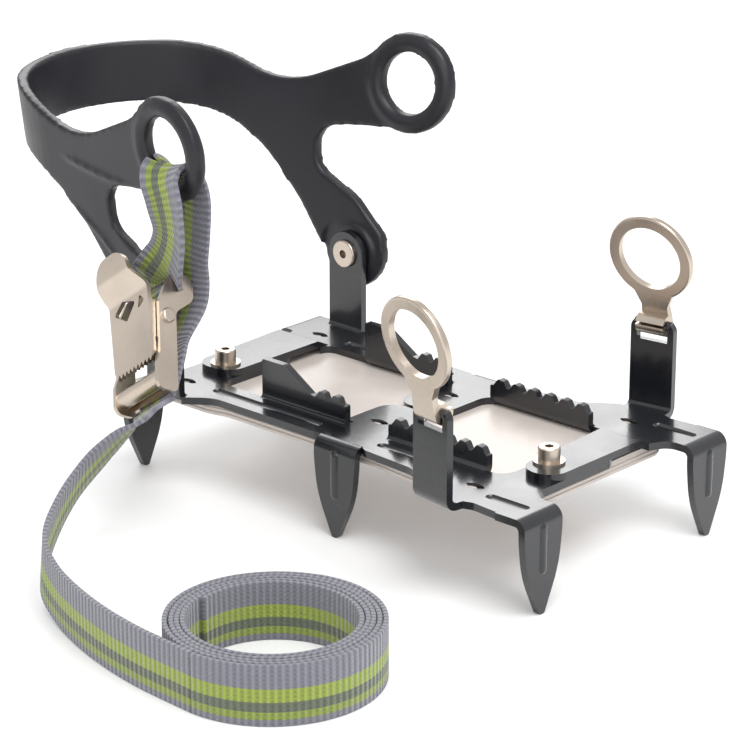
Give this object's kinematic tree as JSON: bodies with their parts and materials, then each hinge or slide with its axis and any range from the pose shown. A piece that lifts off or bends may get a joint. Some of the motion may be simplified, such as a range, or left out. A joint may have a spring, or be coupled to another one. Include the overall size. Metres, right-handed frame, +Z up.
{
  "type": "instep crampon",
  "caption": "Instep crampon: bolted steel side plates with points, hinged ankle harness, swinging strap rings, webbing strap and cam-lever buckle.",
  "frame": {"origin": "middle of the boot rest, in the plane of the side plates' top faces", "axes": "+X towards the toe, +Y towards the wearer's left, +Z up; the points reach down to z = -33 mm"},
  "size_m": [0.2604, 0.2254, 0.1408],
  "materials": {
    "blackened_steel": "glossy blue-black coated sheet steel",
    "nickel_steel": "warm satin nickel plating",
    "black_elastomer": "satin dark moulded elastomer",
    "beige_polymer": "satin light beige plastic",
    "striped_webbing": "grey woven webbing with lengthwise green stripes"
  },
  "bodies": {
    "base": {"right_side_plate": "blackened_steel", "left_side_plate": "blackened_steel", "anti_balling_plate": "beige_polymer", "anti_balling_clips": "beige_polymer", "adjuster_bolts": "nickel_steel", "adjuster_washers": "nickel_steel", "adjuster_nuts": "nickel_steel", "harness_rivets": "nickel_steel", "harness_inner_washers": "nickel_steel", "harness_outer_washers": "nickel_steel", "strap_tail": "striped_webbing", "strap_roll": "striped_webbing"},
    "harness": {"ankle_harness": "black_elastomer", "buckle_frame": "nickel_steel", "buckle_pin": "nickel_steel", "buckle_bar": "nickel_steel", "buckle_spring": "nickel_steel", "buckle_roller": "nickel_steel", "strap_front_strand": "striped_webbing", "strap_back_strand": "striped_webbing"},
    "lever": {"buckle_lever": "nickel_steel"},
    "right_ring": {"right_strap_ring": "nickel_steel"},
    "left_ring": {"left_strap_ring": "nickel_steel"}
  },
  "joints": [
    {"name": "harness_hinge", "type": "hinge", "parent": "base", "child": "harness", "pos_m": [-0.0735, 0, 0.028], "axis": [0, 1, 0], "range_deg": [-35, 45], "deforming": ["strap_tail"]},
    {"name": "buckle_lever_hinge", "type": "hinge", "parent": "harness", "child": "lever", "pos_m": [-0.0551, -0.0704, 0.0326], "axis": [0.8192, 0, 0.5736], "range_deg": [0, 34], "stiffness_Nm_per_rad": 0.02, "springref_deg": -11.46},
    {"name": "right_ring_hinge", "type": "hinge", "parent": "base", "child": "right_ring", "pos_m": [0.05517, -0.05476, 0.0288], "axis": [0.9903, -0.1392, 0], "range_deg": [-75, 75]},
    {"name": "left_ring_hinge", "type": "hinge", "parent": "base", "child": "left_ring", "pos_m": [0.05517, 0.05476, 0.0288], "axis": [0.9903, 0.1392, 0], "range_deg": [-75, 75]}
  ]
}
